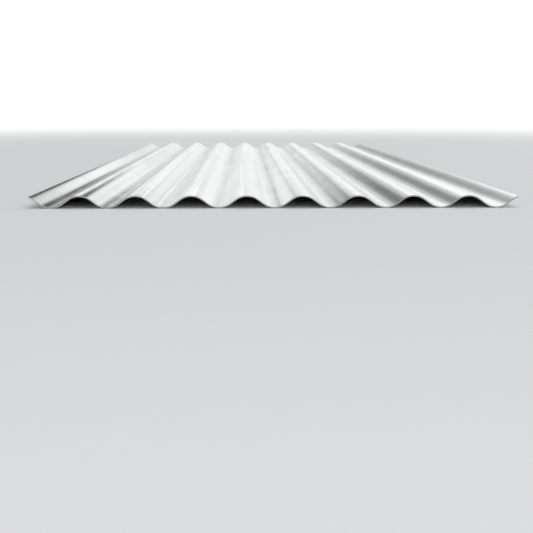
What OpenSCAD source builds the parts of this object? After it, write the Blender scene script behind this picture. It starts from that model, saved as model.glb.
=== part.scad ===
// Corrugated steel sheet, roll-formed from one flat piece: rounded crests and troughs
// of one bend radius, joined by straight flanks. Millimetres, Z up. The corrugations
// run along Y, and the origin lies under the middle of the sheet, on the surface that
// its troughs rest on.

/* [Sheet] */
// Length along the corrugations
length = 1800; // [300:10:6000]
// Thickness of the coated steel
thickness = 1.6; // [0.4:0.1:2.5]

/* [Corrugation] */
// Full crests across the sheet
crests = 8; // [3:1:12]
// Distance from one crest line to the next
pitch = 75; // [60:1:80]
// Overall depth, from under a trough to the top of a crest
depth = 17.5; // [16.5:0.5:20]

/* [Side edges] */
// Bend left out between each side edge and the next crest line, in degrees
edge_angle = 18.5; // [0:0.5:30]

/* [Hidden] */
$fn = 96;

// Sizes are held to a hundredth of a millimetre, so that bends and flanks share
// their corner points exactly
function to_hundredth(size) = round(size * 100) / 100;

// A flank drops 3 for every 4 across, which is 5 along the slope
flank_drop = 3 / 5;
flank_run = 4 / 5;

wall = to_hundredth(thickness);
wave_pitch = to_hundredth(pitch);
wave_depth = to_hundredth(depth);

// Mid-surface bend radius at which crest, flank and trough meet without a kink
mid_r = to_hundredth(
    (flank_drop * wave_pitch / 2 - flank_run * (wave_depth - wall)) / (2 * (1 - flank_run)));
outer_r = mid_r + wall / 2;
inner_r = mid_r - wall / 2;

// Heights of the bend centres: a crest turns about a line below it, a trough about one above
crest_centre = wave_depth - outer_r;
trough_centre = outer_r;

// Bend of one radius about the origin, between two directions from it
module bend(from, to) {
    intersection() {
        difference() {
            circle(outer_r);
            circle(inner_r);
        }
        polygon([[0, 0], 2 * outer_r * from, 2 * outer_r * to]);
    }
}

// Rounded crest about x = 0, from the flank on its left to the flank on its right
module crest_bend() {
    translate([0, crest_centre])
        bend([-flank_drop, flank_run], [flank_drop, flank_run]);
}

// Rounded trough: the bend of a crest, turned over
module trough_bend() {
    translate([0, trough_centre])
        bend([flank_drop, -flank_run], [-flank_drop, -flank_run]);
}

// Straight flank that climbs from the trough about x = 0 to the crest on its right (side 1)
// or on its left (side -1), with its corners taken anticlockwise
module flank(side) {
    normal = [-side * flank_drop, flank_run];
    trough_at = [0, trough_centre];
    crest_at = [side * wave_pitch / 2, crest_centre];
    underside = [trough_at - outer_r * normal, crest_at + inner_r * normal];
    top_side = [crest_at + outer_r * normal, trough_at - inner_r * normal];
    polygon(concat(underside, top_side), [side > 0 ? [0, 1, 2, 3] : [3, 2, 1, 0]]);
}

// Start of one more crest, slit square to the metal short of its crest line
module edge_bend(side) {
    slit = [-side * sin(edge_angle), cos(edge_angle)];
    translate([0, crest_centre])
        bend([-side * flank_drop, flank_run], slit);
}

// Cross-section of the whole sheet, with equal edges left and right
module wave_section() {
    for (i = [0 : crests])
        translate([(i - crests / 2) * wave_pitch, 0]) {
            trough_bend();
            flank(1);
            flank(-1);
        }
    for (i = [1 : crests])
        translate([(i - (crests + 1) / 2) * wave_pitch, 0])
            crest_bend();
    for (side = [-1, 1])
        translate([side * (crests + 1) / 2 * wave_pitch, 0])
            edge_bend(side);
}

// The sheet, cut square at both ends
module corrugated_sheet() {
    color("lightgray")
        rotate([90, 0, 0])
            linear_extrude(height = length, center = true)
                wave_section();
}

corrugated_sheet();
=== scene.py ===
"""Looks of a corrugated galvanised steel sheet that lies on a plain pale floor.

Metres throughout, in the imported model's frame: corrugations along Y, Z up, origin on the floor
under the middle of the sheet.
"""
import math

import bpy
import numpy as np
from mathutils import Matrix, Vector, noise


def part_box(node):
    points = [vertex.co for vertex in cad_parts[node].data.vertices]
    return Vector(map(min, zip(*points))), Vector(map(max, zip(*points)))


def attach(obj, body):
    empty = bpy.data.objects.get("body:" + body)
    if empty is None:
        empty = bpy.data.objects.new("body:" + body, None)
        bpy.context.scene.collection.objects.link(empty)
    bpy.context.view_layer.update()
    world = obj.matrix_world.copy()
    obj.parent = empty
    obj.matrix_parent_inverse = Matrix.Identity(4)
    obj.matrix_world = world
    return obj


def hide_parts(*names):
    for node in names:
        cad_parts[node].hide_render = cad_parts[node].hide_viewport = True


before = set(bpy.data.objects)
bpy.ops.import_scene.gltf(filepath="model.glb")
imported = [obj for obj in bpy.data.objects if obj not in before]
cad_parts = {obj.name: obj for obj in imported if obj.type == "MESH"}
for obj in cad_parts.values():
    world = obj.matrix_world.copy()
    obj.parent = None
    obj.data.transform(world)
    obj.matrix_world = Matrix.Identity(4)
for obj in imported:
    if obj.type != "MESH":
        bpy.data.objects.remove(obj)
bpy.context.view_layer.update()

NODE = "corrugated_sheet"
SHEET_LOW, SHEET_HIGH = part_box(NODE)
LENGTH = SHEET_HIGH.y - SHEET_LOW.y
DEPTH = SHEET_HIGH.z - SHEET_LOW.z
MID_HEIGHT = (SHEET_HIGH.z + SHEET_LOW.z) / 2

# The wave: rounded crests and troughs, tangent to flanks that drop 3 for every 4 across
PITCH = 0.075
WALL = 0.0016
CRESTS = 8
FLANK_SINE = 0.6
FLANK_COSINE = 0.8
FLANK_ANGLE = math.asin(FLANK_SINE)
EDGE_ANGLE = math.radians(18.5)
MID_RISE = (DEPTH - WALL) / 2
MID_RADIUS = (FLANK_SINE * PITCH / 2 - FLANK_COSINE * 2 * MID_RISE) / (2 * (1 - FLANK_COSINE))

# Mesh density across and along the sheet
BEND_STEPS = 10
FLANK_STEPS = 4
ROW_STEP = 0.0115
CLOSE_ROWS = (0.0, 0.0003, 0.0009, 0.0025, 0.006)
EDGE_CLEARANCE = PITCH / 200
SHARP_ANGLE = math.radians(40)

# Unevenness of roll-formed metal, all of it inside the true wave
FLATTENED_LEAST = 0.013
FLATTENED_SPREAD = 0.016
BUCKLE = 0.00009
FINE_BUCKLE_SHARE = 0.35
WANDER = 0.00018
SIDE_ALLOWANCE = 0.0003
CUT_WOBBLE = 0.0004
CUT_WOBBLE_REACH = CLOSE_ROWS[-1]
CUT_ROLLOVER = 0.00014
CUT_ROLLOVER_REACH = CLOSE_ROWS[2]
CUT_BAND_SHARE = 0.4

# Fields of smooth noise: a seed, then changes in a metre across and along the sheet
NOISE_GAIN = 1.6
FLATTENED_FIELD = (3.1, 9.0, 2.2)
BROAD_BUCKLE_FIELD = (8.7, 34.0, 7.0)
FINE_BUCKLE_FIELD = (1.9, 60.0, 19.0)
WANDER_FIELD = (5.3, 1.0, 3.0)
CUT_WOBBLE_FIELD = (6.6, 28.0, 4.0)

# Attribute that holds each point's place on the flat strip, with a mark in Z on the underside
FLAT_PLACE = "flat_place"
UNDERSIDE_MARK = 1.0

# Bare zinc is a hair to the cool side of grey
COOL_RED = 0.99
COOL_BLUE = 1.012
WHITE = (1.0, 1.0, 1.0, 1.0)

# Zinc crystals on the flat strip, with feathers that follow each crystal's own direction
CRYSTAL_SIZE = 0.012
CRYSTAL_LEAN = 0.0028
CRYSTAL_RAGGED_SCALE = 260.0
CRYSTAL_RAGGED = (0.006, 0.006, 0.0)
CRYSTAL_TONE_WEIGHTS = (0.4, 0.35, 0.25)
CRYSTAL_TURN = 4 * math.pi
CRYSTAL_FEATHERS = (1500.0, 260.0, 1.0)
CHANNEL_MEAN = (0.5, 0.5, 0.5)

# Marks on the zinc: changes in a metre across and along, and a step between top and underside
FINE_STREAKS = (420.0, 2.6, 7.0)
BROAD_STREAKS = (46.0, 0.9, 5.0)
SCRATCHES = (900.0, 1.5, 3.0)
CLOUDS = (9.0, 5.0, 4.0)

# Depth of the fine streaks, and the heights between which the crests become rubbed
STREAK_RELIEF = 0.00003
STREAK_RELIEF_STRENGTH = 0.5
RUBBED_FROM = 0.80 * DEPTH
RUBBED_TO = 0.99 * DEPTH

# The part of each mark's range that is used
CRYSTAL_RANGE = (0.2, 0.8)
GRAIN_RANGE = (0.3, 0.7)
SCRATCH_RANGE = (0.68, 0.76)
CLOUD_TONE_RANGE = (0.35, 0.7)
CLOUD_ROUGH_RANGE = (0.3, 0.75)

# What each mark adds to the zinc's tone, at the two ends of its range or in full
ZINC_TONE = 0.82
CRYSTAL_TONE = (-0.022, 0.022)
FEATHER_TONE = (-0.010, 0.010)
FINE_STREAK_TONE = (-0.035, 0.035)
BROAD_STREAK_TONE = (-0.035, 0.03)
CLOUD_TONE = (0.02, -0.035)
SCRATCH_TONE = 0.05
SMUDGE_TONE = -0.12

# What each mark adds to the zinc's roughness, in the same way
ZINC_ROUGH = 0.18
CRYSTAL_ROUGH = (0.006, -0.006)
FEATHER_ROUGH = (-0.005, 0.005)
FINE_STREAK_ROUGH = (-0.03, 0.03)
CLOUD_ROUGH = (-0.012, 0.016)
SCRATCH_ROUGH = -0.08
SMUDGE_ROUGH = 0.08
RUBBED_ROUGH = -0.1

# Smudges on the top face at the near left corner: middle (x, y), half width and half length
SMUDGES = (
    ((-0.313, -0.79), 0.016, 0.07),
    ((-0.272, -0.75), 0.012, 0.05),
    ((-0.228, -0.80), 0.014, 0.06),
)

# The share of a smudge's reach that is full, and how its dirt is broken up
SMUDGE_CORE = 0.2
SMUDGE_BREAKS = (130.0, 40.0, 0.0)
SMUDGE_BREAK_RANGE = (0.35, 0.65)
SMUDGE_LEAST = 0.25

# The two bands of a cut: sheared on the side of the top face, torn below it
CUT_TONE = 0.32
CUT_ROUGH = 0.38
CUT_MARKS = 900.0
TORN_TONE = 0.66
TORN_ROUGH = 0.5
TORN_MARKS = 1400.0
MARKS_THROUGH_WALL = 120.0
MARK_DARKEST = 0.75
MARK_BRIGHTEST = 1.2
MARK_ROUGH_SWING = 0.08
MARK_RELIEF = 0.0001
MARK_RELIEF_STRENGTH = 0.4

# The floor, and how far from the sheet it fades to white
FLOOR_SIZE = 24.0
FLOOR_TONE = 0.95
FLOOR_MOTTLE = 0.01
FLOOR_GRAIN = 60.0
FLOOR_FADE_FROM = 0.3
FLOOR_FADE_TO = 3.0

# Light of the surroundings, as levels on a scale where 1 is white
ROOM_LEVEL = 0.53
FRONT_LEVEL = 0.35
OVERHEAD_GLOW = 0.46
SIDE_SLOPE = 0.16
SOFTBOX_GLOW = 0.53
SHADE = 0.46
BACKDROP_WHITE = 1.0

# Where those lights lie: directions, and the stretches over which each one fades in
FRONT_TO_BACK = (0.6, 0.93)
OVERHEAD_REACH = (0.5, 0.95)
SOFTBOX_TOWARDS = (0.17, 0.955, 0.24)
SOFTBOX_REACH = (0.90, 0.97)
SOFTBOX_LEFT_SIDE = (-0.05, 0.01)
SHADE_TOWARDS = (-0.045, 0.975, 0.19)
SHADE_REACH = (0.983, 0.996)
BACKDROP_TOP = (0.108, 0.14)

# Soft boxes: name, place, the place that each one points at, side and power in watts
LAMPS = (
    ("key_softbox", (1.2, 0.5, 2.8), (0.0, 0.0, 0.0), 3.6, 11.0),
    ("front_fill", (0.6, -3.2, 1.6), (0.0, -0.6, 0.0), 1.6, 5.0),
    ("left_softbox", (-0.27, 1.6, 0.38), (-0.24, -0.7, 0.0), 0.28, 0.105),
)

# The photograph's frame and what it shows of the near edge, in its pixels
FRAME_PX = 533
PITCH_PX = 56.03
CENTRE_TROUGH_PX = 275.0
NEAR_EDGE_PX = 200.1
VANISHING_PX = (243.0, 104.0)

# The camera, with its sensor in millimetres
CAMERA_DISTANCE = 1.3
CAMERA_SEES_FROM = 0.05
CAMERA_SEES_TO = 100
SENSOR_WIDTH = 36.0

# Sockets of a Mix node that mixes colours
MIX_SHARE = 0
MIX_FIRST = 6
MIX_SECOND = 7
MIX_RESULT = 2


def wave_half(sign):
    """Mid-surface points (x, height) from one bend's middle to the next, half a pitch to the right.

    sign 1 climbs from a trough to a crest, and -1 drops from a crest to a trough.
    """
    first = [a * FLANK_ANGLE / (BEND_STEPS / 2) for a in range(BEND_STEPS // 2 + 1)]
    start = [(MID_RADIUS * math.sin(a), MID_RADIUS * (1 - math.cos(a)) - MID_RISE) for a in first]
    end = [(PITCH / 2 - x, -z) for x, z in reversed(start)]
    inner = []
    for k in range(1, FLANK_STEPS):
        t = k / FLANK_STEPS
        inner.append(tuple((1 - t) * p + t * q for p, q in zip(start[-1], end[0])))
    return [(x, sign * z) for x, z in start + inner + end]


def section():
    """Mid-surface points (x, height above the middle) across the whole sheet, and their normals."""
    points = []
    first_bend = -(CRESTS + 1)
    for k in range(first_bend, CRESTS + 1):
        climbs = -1 if (k - first_bend) % 2 == 0 else 1
        points += [(k * PITCH / 2 + x, z) for x, z in wave_half(climbs)[:-1]]
    points.append(((CRESTS + 1) * PITCH / 2, MID_RISE))
    edge_x = (CRESTS + 1) * PITCH / 2 - MID_RADIUS * math.sin(EDGE_ANGLE)
    edge_z = MID_RISE - MID_RADIUS * (1 - math.cos(EDGE_ANGLE))
    kept = [p for p in points if abs(p[0]) < edge_x - EDGE_CLEARANCE]
    line = np.array([(-edge_x, edge_z)] + kept + [(edge_x, edge_z)])
    along = np.gradient(line, axis=0)
    along /= np.linalg.norm(along, axis=1)[:, None]
    return line, np.stack([-along[:, 1], along[:, 0]], axis=1)


def rows():
    """Places along Y, closer together at the two cut ends."""
    half = LENGTH / 2
    inner = half - CLOSE_ROWS[-1] - ROW_STEP / 2
    middle = np.linspace(-inner, inner, int(round(2 * inner / ROW_STEP)) + 1)
    near = [-half + d for d in CLOSE_ROWS]
    return np.array(near + list(middle) + [-y for y in reversed(near)])


def soft_noise(x, y, seed, scale_x, scale_y):
    """Smooth noise from -1 to 1 over arrays of x and y."""
    flat = [noise.noise((a * scale_x, b * scale_y, seed)) for a, b in zip(x.ravel(), y.ravel())]
    return np.clip(np.array(flat).reshape(x.shape) * NOISE_GAIN, -1, 1)


def soft_share(x, y, field):
    """Smooth noise from 0 to 1 over arrays of x and y."""
    return 0.5 + 0.5 * soft_noise(x, y, *field)


def buckles(x, y):
    """How far the metal stands off the true wave, broad buckles and fine ones together."""
    broad = (1 - FINE_BUCKLE_SHARE) * soft_noise(x, y, *BROAD_BUCKLE_FIELD)
    fine = FINE_BUCKLE_SHARE * soft_noise(x, y, *FINE_BUCKLE_FIELD)
    return BUCKLE * (broad + fine)


def sheet_surfaces():
    """Grids of points on the top and the underside, rows along Y by columns across X."""
    line, normal = section()
    x, y = np.meshgrid(line[:, 0], rows())
    rise = np.broadcast_to(line[:, 1], x.shape)
    normal_x = np.broadcast_to(normal[:, 0], x.shape)
    normal_z = np.broadcast_to(normal[:, 1], x.shape)

    flattened = FLATTENED_LEAST + FLATTENED_SPREAD * soft_share(x, y, FLATTENED_FIELD)
    buckle = buckles(x, y)
    wander = WANDER * soft_noise(np.zeros_like(x), y, *WANDER_FIELD)
    mid_x = x + (wander - SIDE_ALLOWANCE * x / line[-1, 0]) + buckle * normal_x
    mid_z = MID_HEIGHT + rise * (1 - flattened) + buckle * normal_z

    to_end = LENGTH / 2 - np.abs(y)
    wobble = CUT_WOBBLE * soft_share(x, np.sign(y), CUT_WOBBLE_FIELD)
    pulled_in = wobble * np.clip(1 - to_end / CUT_WOBBLE_REACH, 0, 1)
    y_cut = y - np.sign(y) * pulled_in
    rollover = CUT_ROLLOVER * np.clip(1 - to_end / CUT_ROLLOVER_REACH, 0, 1) ** 2

    half_x = WALL / 2 * normal_x
    half_z = WALL / 2 * normal_z
    top = np.stack([mid_x + half_x, y_cut, mid_z + half_z - rollover], axis=-1)
    under = np.stack([mid_x - half_x, y_cut, mid_z - half_z], axis=-1)
    return top, under, flat_places(line, y)


def flat_places(line, y):
    """Where each point lay on the flat strip before the waves were rolled: across, along, and 0."""
    steps = np.linalg.norm(np.diff(line, axis=0), axis=1)
    across = np.concatenate([[0.0], np.cumsum(steps)])
    from_middle = np.broadcast_to(across - across[-1] / 2, y.shape)
    return np.stack([from_middle, y, np.zeros(y.shape)], axis=-1)


def rim(n_rows, n_cols):
    """Grid places round the outside of the sheet, anticlockwise seen from above."""
    near = [(0, c) for c in range(n_cols)]
    right = [(r, n_cols - 1) for r in range(1, n_rows)]
    far = [(n_rows - 1, c) for c in range(n_cols - 2, -1, -1)]
    left = [(r, 0) for r in range(n_rows - 2, 0, -1)]
    return near + right + far + left


def quads(a, b, c, d):
    """Four-sided faces from four like arrays of point numbers."""
    return np.stack([a, b, c, d], axis=-1).reshape(-1, 4)


def sheet_faces(n_rows, n_cols):
    """Faces of the closed sheet in four groups, by point number, and the points of the top's rim.

    The points are the top's, then the underside's, then those that part the two bands of the rim.
    """
    count = n_rows * n_cols
    place = np.arange(count).reshape(n_rows, n_cols)
    ring = np.array([place[r, c] for r, c in rim(n_rows, n_cols)])
    next_ring = np.roll(ring, -1)
    parting = 2 * count + np.arange(len(ring))
    next_parting = np.roll(parting, -1)
    upper = quads(place[:-1, :-1], place[:-1, 1:], place[1:, 1:], place[1:, :-1])
    lower = upper[:, ::-1] + count
    cut = quads(next_ring, ring, parting, next_parting)
    torn = quads(next_parting, parting, ring + count, next_ring + count)
    return (upper, lower, cut, torn), ring


def make_sheet(zinc, cut_band, torn_band):
    """The sheet as one closed mesh: zinc faces, and a cut rim in two bands through the thickness."""
    grids = sheet_surfaces()
    groups, ring = sheet_faces(*grids[0].shape[:2])
    top, under, flat = [grid.reshape(-1, 3) for grid in grids]
    parting = (1 - CUT_BAND_SHARE) * top[ring] + CUT_BAND_SHARE * under[ring]
    points = np.concatenate([top, under, parting])
    faces = np.concatenate(groups)
    mesh = bpy.data.meshes.new("sheet_metal")
    mesh.from_pydata(points.tolist(), [], faces.tolist())

    for material in (zinc, cut_band, torn_band):
        mesh.materials.append(material)
    slots = np.repeat([0, 0, 1, 2], [len(group) for group in groups])
    mesh.polygons.foreach_set("material_index", slots.astype(np.int32))
    mesh.polygons.foreach_set("use_smooth", np.ones(len(faces), dtype=bool))
    mesh.set_sharp_from_angle(angle=SHARP_ANGLE)

    on_strip = np.concatenate([flat, flat + (0.0, 0.0, UNDERSIDE_MARK), flat[ring]])
    strip = mesh.attributes.new(FLAT_PLACE, "FLOAT_VECTOR", "POINT")
    strip.data.foreach_set("vector", on_strip.ravel())
    mesh.update()
    sheet = bpy.data.objects.new("sheet_body", mesh)
    bpy.context.collection.objects.link(sheet)
    return sheet


class Nodes:
    """Short hand for building a node tree: add returns the new node, the rest its main output."""

    def __init__(self, tree):
        self.tree = tree
        self.tree.nodes.clear()

    def add(self, kind, **inputs):
        node = self.tree.nodes.new(kind)
        for name, value in inputs.items():
            self.put(node.inputs[name.replace("_", " ")], value)
        return node

    def put(self, socket, value):
        if isinstance(value, bpy.types.NodeSocket):
            self.tree.links.new(value, socket)
        else:
            socket.default_value = value

    def math(self, operation, a, b=0.0):
        node = self.tree.nodes.new("ShaderNodeMath")
        node.operation = operation
        self.put(node.inputs[0], a)
        self.put(node.inputs[1], b)
        return node.outputs[0]

    def vector(self, operation, a, b=(0.0, 0.0, 0.0)):
        node = self.tree.nodes.new("ShaderNodeVectorMath")
        node.operation = operation
        self.put(node.inputs[0], a)
        self.put(node.inputs[1], b)
        return node.outputs["Value" if operation in ("DOT_PRODUCT", "LENGTH") else "Vector"]

    def remap(self, value, from_low, from_high, to_low, to_high, smooth=False):
        node = self.tree.nodes.new("ShaderNodeMapRange")
        node.interpolation_type = "SMOOTHSTEP" if smooth else "LINEAR"
        for socket, v in zip(node.inputs, (value, from_low, from_high, to_low, to_high)):
            self.put(socket, v)
        return node.outputs[0]

    def mix(self, share, a, b):
        node = self.tree.nodes.new("ShaderNodeMix")
        node.data_type = "RGBA"
        self.put(node.inputs[MIX_SHARE], share)
        self.put(node.inputs[MIX_FIRST], a)
        self.put(node.inputs[MIX_SECOND], b)
        return node.outputs[MIX_RESULT]

    def noise(self, where, scale=1.0, detail=2.0, roughness=0.5):
        node = self.add("ShaderNodeTexNoise", Vector=where, Scale=scale, Detail=detail, Roughness=roughness)
        return node.outputs[0]

    def marks(self, where, density, detail=2.0, roughness=0.5):
        """Noise with its own number of changes in a metre in each direction."""
        return self.noise(self.vector("MULTIPLY", where, density), detail=detail, roughness=roughness)

    def attribute(self, name):
        node = self.tree.nodes.new("ShaderNodeAttribute")
        node.attribute_name = name
        return node.outputs["Vector"]

    def total(self, first, *others):
        for other in others:
            first = self.math("ADD", first, other)
        return first

    def bump(self, height, distance, strength, normal=None):
        node = self.add("ShaderNodeBump", Height=height, Distance=distance, Strength=strength)
        if normal is not None:
            self.put(node.inputs["Normal"], normal)
        return node.outputs[0]


def new_material(name):
    """A material without nodes, and the short hand for its tree."""
    material = bpy.data.materials.new(name)
    material.use_nodes = True
    return material, Nodes(material.node_tree)


def finish_metal(n, colour, rough, normal):
    """Close a tree with bare metal of that colour, roughness and relief."""
    shader = n.add("ShaderNodeBsdfPrincipled", Metallic=1.0)
    n.put(shader.inputs["Base Color"], colour)
    n.put(shader.inputs["Roughness"], rough)
    n.put(shader.inputs["Normal"], normal)
    n.add("ShaderNodeOutputMaterial", Surface=shader.outputs[0])


def grey(level):
    """A nearly neutral colour of that level."""
    return (level * COOL_RED, level, level * COOL_BLUE, 1.0)


def zinc_crystals(n, flat):
    """Zinc crystals (spangle): each one's tone, lean and feathered grain, on the flat strip."""
    ragged = n.add("ShaderNodeTexNoise", Vector=flat, Scale=CRYSTAL_RAGGED_SCALE).outputs["Color"]
    ragged = n.vector("SUBTRACT", ragged, CHANNEL_MEAN)
    place = n.vector("ADD", flat, n.vector("MULTIPLY", ragged, CRYSTAL_RAGGED))
    cells = n.add("ShaderNodeTexVoronoi", Vector=place, Scale=1 / CRYSTAL_SIZE)
    own = cells.outputs["Color"]
    tone = n.vector("DOT_PRODUCT", own, CRYSTAL_TONE_WEIGHTS)
    lean = n.vector("SUBTRACT", own, CHANNEL_MEAN)
    lean = n.vector("MULTIPLY", lean, (CRYSTAL_LEAN,) * 3)
    from_middle = n.vector("SUBTRACT", place, cells.outputs["Position"])
    angle = n.math("MULTIPLY", tone, CRYSTAL_TURN)
    turn = n.add("ShaderNodeVectorRotate", Vector=from_middle, Angle=angle)
    turn.rotation_type = "Z_AXIS"
    along_grain = n.vector("MULTIPLY", turn.outputs[0], CRYSTAL_FEATHERS)
    feather = n.noise(n.vector("ADD", along_grain, own))
    return tone, lean, feather


def smudge_mask(n, where, flat):
    """Share of dull dirt at each point: a few soft smears, broken up, on the top face only."""
    broken = n.marks(where, SMUDGE_BREAKS, detail=3.0)
    broken = n.remap(broken, *SMUDGE_BREAK_RANGE, SMUDGE_LEAST, 1.0)
    mask = 0.0
    for (x, y), half_width, half_length in SMUDGES:
        apart = n.vector("SUBTRACT", where, (x, y, 0.0))
        apart = n.vector("MULTIPLY", apart, (1 / half_width, 1 / half_length, 0.0))
        smear = n.remap(n.vector("LENGTH", apart), SMUDGE_CORE, 1.0, 1.0, 0.0, smooth=True)
        mask = n.math("MAXIMUM", mask, smear)
    mark = n.add("ShaderNodeSeparateXYZ", Vector=flat).outputs["Z"]
    on_top = n.remap(mark, 0.0, UNDERSIDE_MARK, 1.0, 0.0)
    return n.math("MULTIPLY", n.math("MULTIPLY", mask, broken), on_top)


def zinc_material():
    """Galvanised face: crystals of zinc, rolling streaks, rub marks, dull clouds and a few smudges."""
    material, n = new_material("zinc_coating")
    where = n.add("ShaderNodeTexCoord").outputs["Object"]
    flat = n.attribute(FLAT_PLACE)
    crystal, lean, feather = zinc_crystals(n, flat)
    fine_streak = n.marks(flat, FINE_STREAKS, detail=3.0, roughness=0.55)
    broad_streak = n.marks(flat, BROAD_STREAKS)
    scratch = n.remap(n.marks(flat, SCRATCHES, detail=1.0), *SCRATCH_RANGE, 0.0, 1.0)
    cloud = n.marks(flat, CLOUDS, detail=4.0, roughness=0.6)
    smudge = smudge_mask(n, where, flat)
    height = n.add("ShaderNodeSeparateXYZ", Vector=where).outputs["Z"]
    on_crest = n.remap(height, RUBBED_FROM, RUBBED_TO, 0.0, 1.0, smooth=True)
    rubbed = n.math("MULTIPLY", on_crest, broad_streak)

    bright = n.total(
        ZINC_TONE,
        n.remap(crystal, *CRYSTAL_RANGE, *CRYSTAL_TONE),
        n.remap(feather, *GRAIN_RANGE, *FEATHER_TONE),
        n.remap(fine_streak, *GRAIN_RANGE, *FINE_STREAK_TONE),
        n.remap(broad_streak, *GRAIN_RANGE, *BROAD_STREAK_TONE),
        n.remap(cloud, *CLOUD_TONE_RANGE, *CLOUD_TONE),
        n.math("MULTIPLY", scratch, SCRATCH_TONE),
        n.math("MULTIPLY", smudge, SMUDGE_TONE),
    )
    red = n.math("MULTIPLY", bright, COOL_RED)
    blue = n.math("MULTIPLY", bright, COOL_BLUE)
    colour = n.add("ShaderNodeCombineColor", Red=red, Green=bright, Blue=blue).outputs[0]
    rough = n.total(
        ZINC_ROUGH,
        n.remap(crystal, *CRYSTAL_RANGE, *CRYSTAL_ROUGH),
        n.remap(feather, *GRAIN_RANGE, *FEATHER_ROUGH),
        n.remap(fine_streak, *GRAIN_RANGE, *FINE_STREAK_ROUGH),
        n.remap(cloud, *CLOUD_ROUGH_RANGE, *CLOUD_ROUGH),
        n.math("MULTIPLY", scratch, SCRATCH_ROUGH),
        n.math("MULTIPLY", smudge, SMUDGE_ROUGH),
        n.math("MULTIPLY", rubbed, RUBBED_ROUGH),
    )

    facing = n.add("ShaderNodeNewGeometry").outputs["Normal"]
    normal = n.vector("NORMALIZE", n.vector("ADD", facing, lean))
    normal = n.bump(fine_streak, STREAK_RELIEF, STREAK_RELIEF_STRENGTH, normal)
    finish_metal(n, colour, rough, normal)
    return material


def cut_material(name, level, roughness, marks_along):
    """Bare steel where the sheet was cut, with fine marks across the cut."""
    material, n = new_material(name)
    where = n.add("ShaderNodeTexCoord").outputs["Object"]
    density = (marks_along, marks_along, MARKS_THROUGH_WALL)
    marks = n.marks(where, density, detail=3.0, roughness=0.6)
    colour = n.mix(marks, grey(level * MARK_DARKEST), grey(level * MARK_BRIGHTEST))
    rough = n.remap(marks, *GRAIN_RANGE, roughness - MARK_ROUGH_SWING, roughness + MARK_ROUGH_SWING)
    finish_metal(n, colour, rough, n.bump(marks, MARK_RELIEF, MARK_RELIEF_STRENGTH))
    return material


def floor_material():
    """Pale paint that turns white away from the sheet, as seen directly, mirrored or through glass."""
    material, n = new_material("pale_floor")
    where = n.add("ShaderNodeTexCoord").outputs["Object"]
    grain = n.noise(where, FLOOR_GRAIN, detail=3.0)
    colour = n.mix(grain, grey(FLOOR_TONE - FLOOR_MOTTLE), grey(FLOOR_TONE + FLOOR_MOTTLE))
    paint = n.add("ShaderNodeBsdfDiffuse", Color=colour)
    white = n.add("ShaderNodeEmission", Color=WHITE, Strength=1.0)
    from_middle = n.vector("ABSOLUTE", where)
    outside = n.vector("SUBTRACT", from_middle, (SHEET_HIGH.x, SHEET_HIGH.y, 0.0))
    away = n.vector("LENGTH", n.vector("MAXIMUM", outside))
    fade = n.remap(away, FLOOR_FADE_FROM, FLOOR_FADE_TO, 0.0, 1.0, smooth=True)
    path = n.add("ShaderNodeLightPath").outputs
    mirrored = n.math("MAXIMUM", path["Is Glossy Ray"], path["Is Transmission Ray"])
    seen = n.math("MAXIMUM", path["Is Camera Ray"], mirrored)
    both = n.add("ShaderNodeMixShader", Fac=n.math("MULTIPLY", fade, seen))
    n.put(both.inputs[1], paint.outputs[0])
    n.put(both.inputs[2], white.outputs[0])
    n.add("ShaderNodeOutputMaterial", Surface=both.outputs[0])
    return material


def make_floor():
    """Plain level floor under the sheet."""
    half = FLOOR_SIZE / 2
    corners = [(-half, -half, 0), (half, -half, 0), (half, half, 0), (-half, half, 0)]
    mesh = bpy.data.meshes.new("floor")
    mesh.from_pydata(corners, [], [(0, 1, 2, 3)])
    mesh.materials.append(floor_material())
    floor = bpy.data.objects.new("floor", mesh)
    bpy.context.collection.objects.link(floor)


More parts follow.
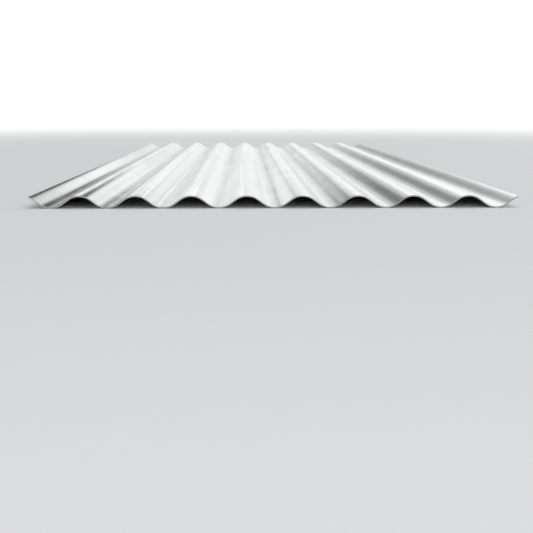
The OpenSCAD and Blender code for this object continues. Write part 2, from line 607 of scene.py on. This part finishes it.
def make_world():
    """Soft surroundings: a low white backdrop all round, and mostly dimmer light above it.

    Above the backdrop it is brighter behind than in front, and bright overhead. A soft box lies
    low behind the sheet on the right, with a small shaded patch beside it.
    """
    world = bpy.data.worlds.new("studio")
    bpy.context.scene.world = world
    world.use_nodes = True
    n = Nodes(world.node_tree)
    direction = n.add("ShaderNodeTexCoord").outputs["Generated"]
    parts = n.add("ShaderNodeSeparateXYZ", Vector=direction).outputs

    def nearness(towards):
        return n.vector("DOT_PRODUCT", direction, tuple(Vector(towards).normalized()))

    softbox = n.remap(nearness(SOFTBOX_TOWARDS), *SOFTBOX_REACH, 0.0, SOFTBOX_GLOW, smooth=True)
    on_right = n.remap(parts["X"], *SOFTBOX_LEFT_SIDE, 0.0, 1.0, smooth=True)
    upper = n.total(
        n.remap(parts["Y"], *FRONT_TO_BACK, FRONT_LEVEL, ROOM_LEVEL, smooth=True),
        n.math("MULTIPLY", parts["X"], SIDE_SLOPE),
        n.remap(parts["Z"], *OVERHEAD_REACH, 0.0, OVERHEAD_GLOW, smooth=True),
        n.math("MULTIPLY", softbox, on_right),
        n.remap(nearness(SHADE_TOWARDS), *SHADE_REACH, 0.0, -SHADE, smooth=True),
    )
    above = n.remap(parts["Z"], *BACKDROP_TOP, 0.0, 1.0, smooth=True)
    change = n.math("SUBTRACT", upper, BACKDROP_WHITE)
    level = n.total(BACKDROP_WHITE, n.math("MULTIPLY", above, change))
    surround = n.add("ShaderNodeBackground", Color=WHITE, Strength=level)
    n.add("ShaderNodeOutputWorld", Surface=surround.outputs[0])


def make_lamp(name, place, aim, size, power):
    """Square soft box that points at a place on the sheet."""
    light = bpy.data.lights.new(name, "AREA")
    light.shape = "SQUARE"
    light.size = size
    light.energy = power
    lamp = bpy.data.objects.new(name, light)
    lamp.location = place
    lamp.rotation_euler = (Vector(aim) - Vector(place)).to_track_quat("-Z", "Y").to_euler()
    lamp.visible_camera = False
    bpy.context.collection.objects.link(lamp)


def make_camera():
    """Camera that looks along the corrugations from just above the sheet, as the photograph does."""
    px_per_metre = PITCH_PX / PITCH
    focal_px = px_per_metre * CAMERA_DISTANCE
    near_surface = MID_HEIGHT + WALL / 2
    x = -(CENTRE_TROUGH_PX - VANISHING_PX[0]) / px_per_metre
    z = near_surface + (NEAR_EDGE_PX - VANISHING_PX[1]) / px_per_metre
    right = (FRAME_PX / 2 - VANISHING_PX[0]) / focal_px
    down = (FRAME_PX / 2 - VANISHING_PX[1]) / focal_px
    data = bpy.data.cameras.new("camera")
    data.sensor_width = SENSOR_WIDTH
    data.lens = focal_px * SENSOR_WIDTH / FRAME_PX
    data.clip_start = CAMERA_SEES_FROM
    data.clip_end = CAMERA_SEES_TO
    camera = bpy.data.objects.new("camera", data)
    camera.location = (x, SHEET_LOW.y - CAMERA_DISTANCE, z)
    camera.rotation_euler = Vector((right, 1.0, -down)).to_track_quat("-Z", "Y").to_euler()
    bpy.context.collection.objects.link(camera)
    bpy.context.scene.camera = camera


sheet = make_sheet(
    zinc_material(),
    cut_material("cut_steel_band", CUT_TONE, CUT_ROUGH, CUT_MARKS),
    cut_material("torn_steel_band", TORN_TONE, TORN_ROUGH, TORN_MARKS),
)
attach(sheet, "root")
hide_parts(NODE)

make_camera()
make_floor()
make_world()
for lamp in LAMPS:
    make_lamp(*lamp)

bpy.context.scene.view_settings.view_transform = "Standard"
